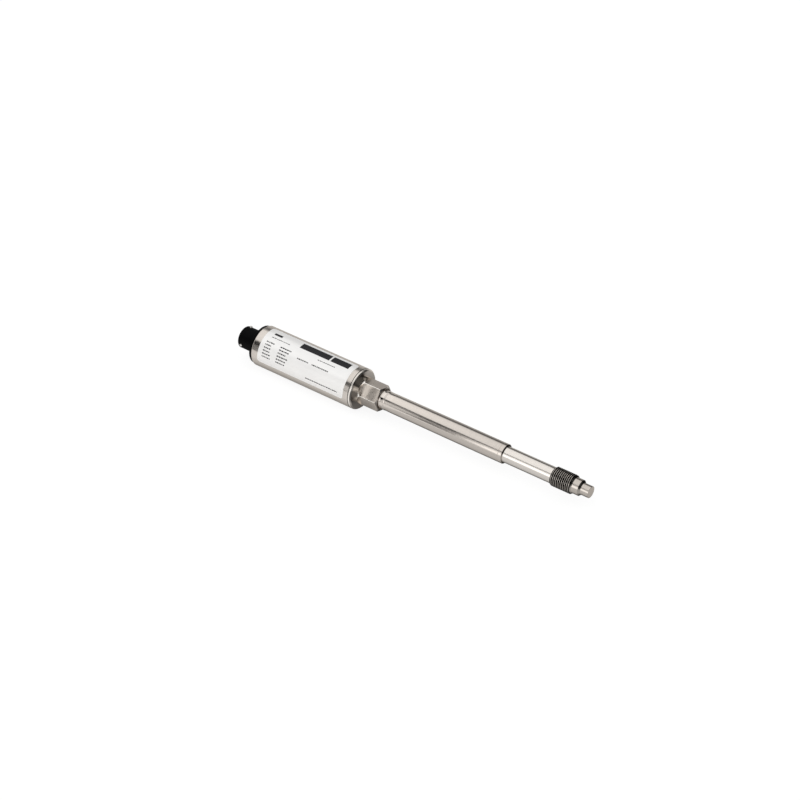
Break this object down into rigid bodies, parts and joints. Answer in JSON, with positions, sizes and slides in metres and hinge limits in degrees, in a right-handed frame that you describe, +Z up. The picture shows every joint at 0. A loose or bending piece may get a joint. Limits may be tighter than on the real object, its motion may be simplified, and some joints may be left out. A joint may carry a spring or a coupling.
{
  "type": "melt pressure sensor",
  "caption": "Rigid-stem melt pressure sensor: steel housing with bayonet receptacle, hexagon, long stem, relieved neck, process thread and flush-diaphragm tip.",
  "frame": {"origin": "on the sensor's axis, halfway along the process thread that holds it", "axes": "+X along the axis towards the diaphragm end, +Z up, +Y completes a right-handed frame"},
  "size_m": [0.2724, 0.0281, 0.0281],
  "materials": {
    "stainless": "turned and lightly brushed stainless steel",
    "stainless_bright": "fine turned stainless steel",
    "black_shell": "black anodised, satin",
    "black_resin": "moulded black resin",
    "contact_gold": "gold plated",
    "seal_rubber": "black seal rubber",
    "label_film": "white printed film with a low sheen",
    "gauge_film": "amber film with foil grids",
    "lead_wire": "enamelled wire",
    "circuit_board": "green solder mask",
    "chip_resin": "moulded black",
    "trimmer_plastic": "moulded blue"
  },
  "bodies": {
    "root": {"probe_tip": "stainless", "tip_diaphragm": "stainless_bright", "tip_plug": "stainless_bright", "capillary_tube": "stainless_bright", "stem_tube": "stainless", "front_body": "stainless", "front_seal": "seal_rubber", "housing_tube": "stainless", "label": "label_film", "rear_cap": "stainless", "rear_seal": "seal_rubber", "connector_shell": "black_shell", "bayonet_studs": "stainless_bright", "connector_gasket": "seal_rubber", "connector_nut": "stainless_bright", "connector_insert": "black_resin", "contact_pins": "contact_gold", "insert_snap_ring": "stainless_bright", "capsule_base": "stainless_bright", "sensing_cup": "stainless", "capsule_ring": "stainless", "strain_gauge": "gauge_film", "gauge_leads": "lead_wire", "gauge_board": "circuit_board", "amplifier_board": "circuit_board", "connector_board": "circuit_board", "standoffs": "stainless_bright", "board_screws": "stainless_bright", "amplifier_chips": "chip_resin", "trimmers": "trimmer_plastic", "capacitors": "stainless_bright"}
  },
  "joints": []
}
